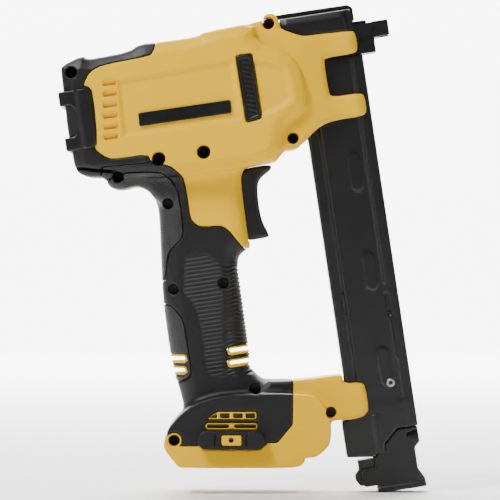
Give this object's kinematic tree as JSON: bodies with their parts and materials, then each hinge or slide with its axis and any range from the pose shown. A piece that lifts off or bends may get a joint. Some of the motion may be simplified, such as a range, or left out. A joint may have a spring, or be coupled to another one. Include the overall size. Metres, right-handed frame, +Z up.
{
  "type": "brad nailer",
  "caption": "Battery-powered nailer with a spring-driven driver, bottom-loading magazine, safety contact foot, soft grip and battery foot.",
  "frame": {"origin": "middle plane, middle of the tool's length, at its lowest point", "axes": "+X towards the nose, +Z up, +Y to the operator's left"},
  "size_m": [0.2449, 0.076, 0.3252],
  "materials": {
    "yellow_nylon": "moulded nylon, fine texture",
    "black_rubber": "soft overmould, matt",
    "black_plastic": "moulded nylon",
    "black_steel": "black oxide and paint over sheet steel",
    "dark_steel": "phosphated steel",
    "bright_steel": "machined steel",
    "black_screws": "black oxide",
    "spring_steel": "spring wire",
    "alloy": "die-cast alloy",
    "brass": "plain brass",
    "green_board": "solder mask",
    "magnet": "ferrite",
    "plate_blank": "blank satin plate",
    "toe_plastic": "glass-filled nylon"
  },
  "bodies": {
    "tool": {"housing_right": "yellow_nylon", "housing_left": "yellow_nylon", "grip_right": "black_rubber", "grip_left": "black_rubber", "rear_bumper_right": "black_rubber", "rear_bumper_left": "black_rubber", "palm_pad_upper": "black_rubber", "palm_pad_lower": "black_rubber", "nose_cover_right": "black_plastic", "nose_cover_left": "black_plastic", "side_vent_right": "black_plastic", "side_vent_left": "black_plastic", "label_plate_right": "plate_blank", "label_plate_left": "plate_blank", "casing_screws": "black_screws", "hook_inserts": "brass", "rear_strap": "black_steel", "lever_pin": "bright_steel", "trigger_spring": "spring_steel", "trigger_switch": "black_plastic", "control_board": "green_board", "terminal_block": "black_plastic", "terminal_blades": "brass", "motor_can": "dark_steel", "motor_magnets": "magnet", "motor_bearings": "brass", "ring_gear": "bright_steel", "drive_frame": "dark_steel", "guide_rods": "bright_steel", "drive_springs": "spring_steel", "driver_bumpers": "black_rubber", "spring_seat": "dark_steel", "nose_block": "dark_steel", "trip_spring": "spring_steel", "magazine_channel": "black_steel", "latch_post": "black_steel"},
    "trigger": {"trigger": "black_plastic"},
    "lever": {"clear_lever": "black_steel"},
    "trip": {"contact_trip": "black_steel", "trip_tip": "dark_steel"},
    "rotor": {"motor_rotor": "bright_steel", "motor_fan": "black_plastic"},
    "planet_1": {"planet_gear_1": "bright_steel"},
    "planet_2": {"planet_gear_2": "bright_steel"},
    "planet_3": {"planet_gear_3": "bright_steel"},
    "carrier": {"carrier": "bright_steel"},
    "cross_shaft": {"cross_shaft": "bright_steel", "bevel_gear": "bright_steel", "spur_pinion": "bright_steel"},
    "lifter": {"lifter_shaft": "bright_steel", "lifter_gear": "bright_steel", "lifter_wheel": "bright_steel"},
    "driver": {"driver_blade": "bright_steel", "driver_carriage": "alloy"},
    "magazine": {"magazine_core": "bright_steel", "magazine_toe": "toe_plastic", "latch_pin": "bright_steel", "pusher_spring": "spring_steel"},
    "latch": {"magazine_latch": "black_steel"},
    "pusher": {"pusher": "alloy"}
  },
  "joints": [
    {"name": "trigger_pull", "type": "slide", "parent": "tool", "child": "trigger", "axis": [-0.989, 0, -0.1478], "range_m": [0, 0.006], "stiffness_N_per_m": 600, "springref_m": -0.008, "deforming": ["trigger_spring"]},
    {"name": "contact_trip_press", "type": "slide", "parent": "tool", "child": "trip", "axis": [-0.989, 0, -0.1478], "range_m": [0, 0.006], "stiffness_N_per_m": 800, "springref_m": -0.01, "deforming": ["trip_spring"]},
    {"name": "clear_lever_lift", "type": "hinge", "parent": "tool", "child": "lever", "pos_m": [0.01715, 0, 0.31678], "axis": [0, -1, 0], "range_deg": [0, 40]},
    {"name": "motor_spin", "type": "hinge", "parent": "tool", "child": "rotor", "pos_m": [-0.04727, 0, 0.25397], "axis": [-0.989, 0, -0.1478], "range_deg": [0, 5400]},
    {"name": "carrier_spin", "type": "hinge", "parent": "tool", "child": "carrier", "pos_m": [0.0002, 0, 0.26106], "axis": [-0.989, 0, -0.1478], "range_deg": [0, 1080]},
    {"name": "planet_spin_1", "type": "hinge", "parent": "carrier", "child": "planet_1", "pos_m": [-0.00573, 0.00975, 0.26018], "axis": [-0.989, 0, -0.1478], "range_deg": [-2880, 0]},
    {"name": "planet_spin_2", "type": "hinge", "parent": "carrier", "child": "planet_2", "pos_m": [-0.00698, -0.00487, 0.26853], "axis": [-0.989, 0, -0.1478], "range_deg": [-2880, 0]},
    {"name": "planet_spin_3", "type": "hinge", "parent": "carrier", "child": "planet_3", "pos_m": [-0.00448, -0.00487, 0.25183], "axis": [-0.989, 0, -0.1478], "range_deg": [-2880, 0]},
    {"name": "cross_shaft_spin", "type": "hinge", "parent": "tool", "child": "cross_shaft", "pos_m": [0.02196, 0, 0.26432], "axis": [0, 1, 0], "range_deg": [0, 540]},
    {"name": "lifter_spin", "type": "hinge", "parent": "tool", "child": "lifter", "pos_m": [0.01908, 0, 0.2836], "axis": [0, -1, 0], "range_deg": [0, 270]},
    {"name": "driver_stroke", "type": "slide", "parent": "tool", "child": "driver", "axis": [-0.989, 0, -0.1478], "range_m": [0, 0.06597], "deforming": ["drive_springs"]},
    {"name": "magazine_slide", "type": "slide", "parent": "tool", "child": "magazine", "axis": [0.1478, 0, -0.989], "range_m": [0, 0.2]},
    {"name": "magazine_latch_press", "type": "hinge", "parent": "magazine", "child": "latch", "pos_m": [0.08279, 0, 0.00951], "axis": [0, 1, 0], "range_deg": [0, 5.5], "stiffness_Nm_per_rad": 0.5, "springref_deg": -11.46},
    {"name": "pusher_slide", "type": "slide", "parent": "magazine", "child": "pusher", "axis": [0.1478, 0, -0.989], "range_m": [0, 0.19], "stiffness_N_per_m": 15, "springref_m": -0.3, "deforming": ["pusher_spring"]}
  ],
  "couplings": [
    {"joint": "motor_spin", "follows": "driver_stroke", "rad_per_m": 1428.6},
    {"joint": "carrier_spin", "follows": "driver_stroke", "rad_per_m": 285.71},
    {"joint": "planet_spin_1", "follows": "driver_stroke", "rad_per_m": -761.9},
    {"joint": "planet_spin_2", "follows": "driver_stroke", "rad_per_m": -761.9},
    {"joint": "planet_spin_3", "follows": "driver_stroke", "rad_per_m": -761.9},
    {"joint": "cross_shaft_spin", "follows": "driver_stroke", "rad_per_m": 142.86},
    {"joint": "lifter_spin", "follows": "driver_stroke", "rad_per_m": 71.429}
  ]
}
